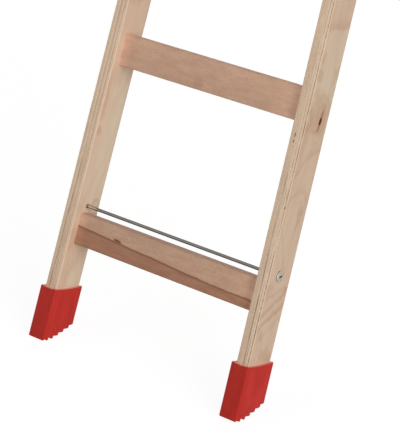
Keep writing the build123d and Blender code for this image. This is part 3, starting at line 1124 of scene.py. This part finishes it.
def foot_mesh(outward):
    """Shoe in the frame of its stile, as rings round its upright axis."""
    rows = foot_stations()
    columns = [(-1, *row) for row in rows] + wall_columns(rows[-1], 1)
    columns += [(1, *row) for row in reversed(rows)] + wall_columns(rows[0], -1)
    socket_half = STILE_THICKNESS / 2 + FOOT_FIT
    middle = Vector((outward * STILE_THICKNESS / 2, 0, 0))
    to_ladder = stile_frame(outward)

    def rim_at(across, depth):
        """Level of the rim, which sags between its corners."""
        share = (depth - foot_front) / foot_depth
        sag = 4 * FOOT_SIDE_SAG * share * (1 - share)
        sag += FOOT_WALL_SAG * max(0, 1 - (across / (foot_half_width - FOOT_CORNER)) ** 2)
        trim = FOOT_FRONT_LIFT * (1 - share) - FOOT_BACK_DROP * share
        return FOOT_RIM_FRONT + FOOT_RIM_RISE * share + trim - sag

    def point(across, depth, level):
        """Point of the stile's frame whose level in the ladder's frame is given."""
        base = to_ladder @ (middle + Vector((across, depth, 0)))
        return middle + Vector((across, depth, (level - base.z) / cos(taper)))

    def outside(inset):
        """Places round the shoe, moved in, with the level of the sole."""
        return [
            (sign * (width - inset * outward_part), depth - inset * back_part, sole)
            for sign, depth, sole, width, outward_part, back_part in columns
        ]

    def socket(spread):
        """Places round the socket, moved out."""
        front = -FOOT_FIT - spread
        rear = STILE_DEPTH + FOOT_FIT + spread
        return [
            (sign * min(width, socket_half + spread), min(max(depth, front), rear))
            for sign, depth, _, width, _, _ in columns
        ]

    rings = []
    for rise, inset in quarter_turn(FOOT_SOLE_ROUNDING, ROUND_STEPS):
        rings.append([point(x, y, sole + rise) for x, y, sole in outside(inset)])
    for inset, drop in quarter_turn(FOOT_RIM_ROUNDING, ROUND_STEPS):
        rings.append([point(x, y, rim_at(x, y) - drop) for x, y, _ in outside(inset)])
    for drop, spread in quarter_turn(FOOT_LIP_ROUNDING, ROUND_STEPS):
        rings.append([point(x, y, rim_at(x, y) - drop) for x, y in socket(spread)])
    rings.append([point(x, y, level_at(SOLE_THICKNESS, y)) for x, y in socket(0)])

    builder = bmesh.new()
    skinned = skin_rings(builder, rings)
    count = len(rows)
    turn = count + WALL_STEPS - 1
    for row in (skinned[0], skinned[-1]):
        near_side = row[:count]
        back_wall = row[count:turn]
        far_side = row[turn:turn + count][::-1]
        front_wall = row[turn + count:]
        for here in range(count - 1):
            corners = [near_side[here], near_side[here + 1], far_side[here + 1], far_side[here]]
            if here == 0:
                corners += front_wall
            if here == count - 2:
                corners[2:2] = back_wall
            builder.faces.new(corners)
    return finished(builder)


red_look = shoe_look("shoe_red")
for side, outward in outward_of.items():
    add_piece(
        f"{side}_shoe_moulded",
        foot_mesh(outward),
        ladder_frame @ stile_frame(outward),
        red_look,
        f"{side}_foot",
        SHOE_SHARP_ANGLE,
    )

# Stage: a white floor that keeps a faint shadow, soft light from the right with weaker lamps in front
# and behind, and a pale world


def seen_rays(tree):
    """1 for rays that show the background: from the camera, off metal, or through glass."""
    seen = add_node(tree, "LightPath", {}, out="Is Camera Ray")
    for name in ("Is Glossy Ray", "Is Transmission Ray"):
        seen = seen.math("MAXIMUM", add_node(tree, "LightPath", {}, out=name))
    return seen


FLOOR_SIZE = 80.0
FLOOR_DROP = 0.0002
FLOOR_COLOUR = 0.86
FLOOR_GLOW = 0.909
FLOOR_SHADED = 0.172
WORLD_LIGHT = 0.265
LAMP_DISTANCE = 5.0

# To the camera, the floor glows nearly white, and the light that falls on it adds the rest
floor_material = bpy.data.materials.new("floor_white")
floor_material.use_nodes = True
floor_tree = floor_material.node_tree
floor_tree.nodes.clear()
seen = seen_rays(floor_tree)
matt = add_node(floor_tree, "BsdfDiffuse", {"Color": seen.span(FLOOR_COLOUR, FLOOR_SHADED)})
inputs = {"Color": (1, 1, 1, 1), "Strength": seen.span(0.0, FLOOR_GLOW)}
glow = add_node(floor_tree, "Emission", inputs)
lit = add_node(floor_tree, "AddShader", {0: matt, 1: glow})
under = add_node(floor_tree, "NewGeometry", {}, out="Backfacing")
clear = add_node(floor_tree, "BsdfTransparent", {})
surface = add_node(floor_tree, "MixShader", {0: under, 1: lit, 2: clear})
add_node(floor_tree, "OutputMaterial", {"Surface": surface})

floor_mesh = bpy.data.meshes.new("floor")
corner = FLOOR_SIZE / 2
floor_mesh.from_pydata(
    [(-corner, -corner, 0), (corner, -corner, 0), (corner, corner, 0), (-corner, corner, 0)],
    [],
    [(0, 1, 2, 3)],
)
floor_mesh.materials.append(floor_material)
floor = placed("floor", floor_mesh)
floor.location.z = -FLOOR_DROP

world = bpy.data.worlds.new("studio")
bpy.context.scene.world = world
world.use_nodes = True
world_tree = world.node_tree
world_tree.nodes.clear()
inputs = {"Color": (1, 1, 1, 1), "Strength": seen_rays(world_tree).span(WORLD_LIGHT, 1.0)}
sky = add_node(world_tree, "Background", inputs)
add_node(world_tree, "OutputWorld", {"Surface": sky})


def add_lamp(name, azimuth, elevation, strength, softness):
    """Far soft lamp. Azimuth 0 is in front of the ladder, 90 on its right."""
    a = radians(azimuth)
    e = radians(elevation)
    away = Vector((sin(a) * cos(e), -cos(a) * cos(e), sin(e)))
    light = bpy.data.lights.new(name, "SUN")
    light.energy = strength
    light.angle = radians(softness)
    lamp = placed(name, light)
    lamp.location = away * LAMP_DISTANCE
    lamp.rotation_euler = away.to_track_quat("Z", "Y").to_euler()


add_lamp("side", 69, 14, 2.48, 45)
add_lamp("front", -40, 20, 0.44, 45)
add_lamp("back", 190, 4, 0.85, 40)

# Camera, fitted to the edges of the ladder in the photograph

CAMERA_PLACE = (1.78275, -2.41077, 1.56800)
CAMERA_AZIMUTH = radians(39.2994)
CAMERA_ELEVATION = radians(25.9689)
CAMERA_SENSOR = 36.0
CAMERA_LENS = 171.064
camera = bpy.data.cameras.new("camera")
camera.sensor_width = CAMERA_SENSOR
camera.lens = CAMERA_LENS
viewer = placed("camera", camera)
viewer.location = CAMERA_PLACE
ahead = Vector((
    -cos(CAMERA_ELEVATION) * sin(CAMERA_AZIMUTH),
    cos(CAMERA_ELEVATION) * cos(CAMERA_AZIMUTH),
    -sin(CAMERA_ELEVATION),
))
viewer.rotation_euler = ahead.to_track_quat("-Z", "Y").to_euler()
bpy.context.scene.camera = viewer

bpy.context.scene.view_settings.view_transform = "Standard"

bpy.context.view_layer.update()
